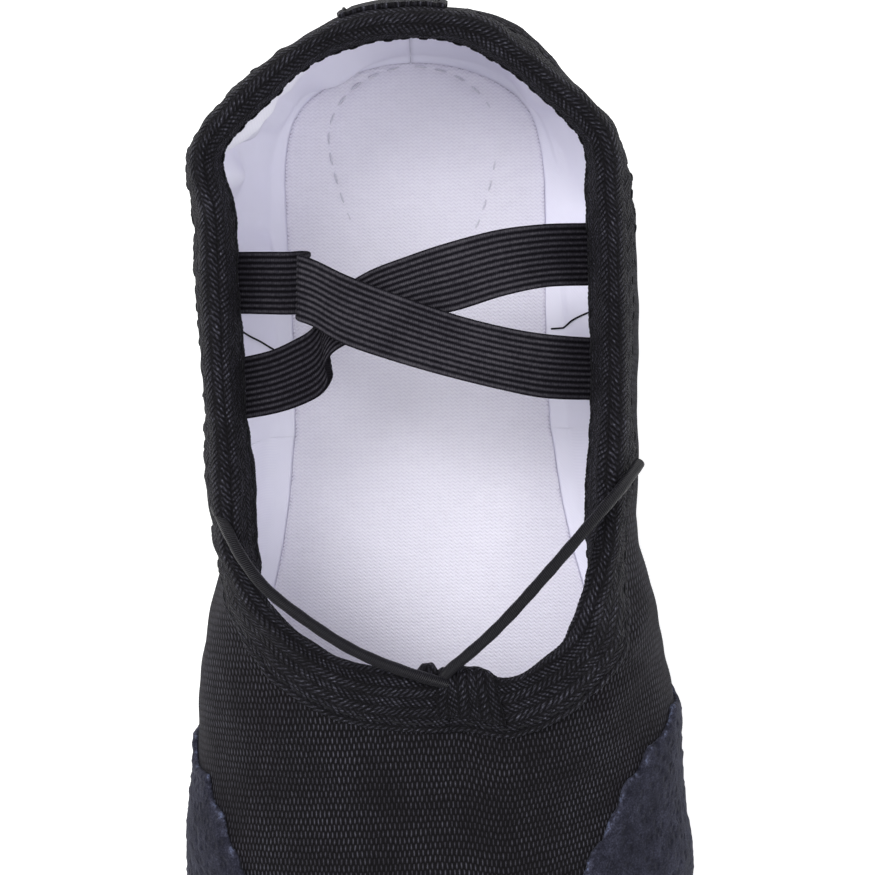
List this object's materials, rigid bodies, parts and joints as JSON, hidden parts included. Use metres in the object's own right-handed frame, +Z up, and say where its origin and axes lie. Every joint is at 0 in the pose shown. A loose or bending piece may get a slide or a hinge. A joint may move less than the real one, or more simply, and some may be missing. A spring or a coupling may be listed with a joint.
{
  "type": "ballet slipper",
  "caption": "Soft split-sole ballet slipper with a canvas upper, crossed elastic straps, a bound opening with a drawstring, and suede sole patches.",
  "frame": {"origin": "on the floor, in the middle of the slipper's length and width", "axes": "+Z up, +Y towards the heel, -Y towards the toe, +X towards the little toe's side"},
  "size_m": [0.0932, 0.2412, 0.0552],
  "materials": {
    "suede": "slate-navy split suede, dimpled, with a pale raw edge",
    "canvas": "black hopsack cotton canvas",
    "lining": "white cotton twill",
    "sock": "white brushed cotton",
    "padding": "cotton wadding",
    "binding": "black herringbone cotton tape",
    "elastic": "black ribbed elastic",
    "cord": "black braided elastic cord",
    "thread": "grey and black sewing thread"
  },
  "bodies": {
    "forefoot": {"forefoot_outsole": "suede", "front_bottom_canvas": "canvas", "front_cushion": "padding", "front_sock": "sock", "forefoot_patch_stitching": "thread", "vamp_canvas": "canvas", "vamp_lining": "lining", "canvas_fold_sections": "canvas", "lining_fold_sections": "lining", "binding_fold_sections": "binding", "front_binding_left": "binding", "front_binding_right": "binding", "drawstring_left": "cord", "drawstring_right": "cord", "throat_tack": "thread"},
    "heel": {"heel_outsole": "suede", "rear_bottom_canvas": "canvas", "rear_cushion": "padding", "rear_sock": "sock", "heel_patch_stitching": "thread", "left_quarter_canvas": "canvas", "right_quarter_canvas": "canvas", "left_quarter_lining": "lining", "right_quarter_lining": "lining", "heel_binding": "binding", "heel_stay": "canvas", "drawstring_casing_run": "cord", "top_strap": "elastic", "under_strap": "elastic", "strap_tacks": "thread"}
  },
  "joints": [
    {"name": "arch_fold", "type": "hinge", "parent": "forefoot", "child": "heel", "pos_m": [0, 0.046, 0.0042], "axis": [1, 0, 0], "range_deg": [0, 20], "deforming": ["canvas_fold_sections", "lining_fold_sections", "binding_fold_sections", "drawstring_left", "drawstring_right"]}
  ]
}
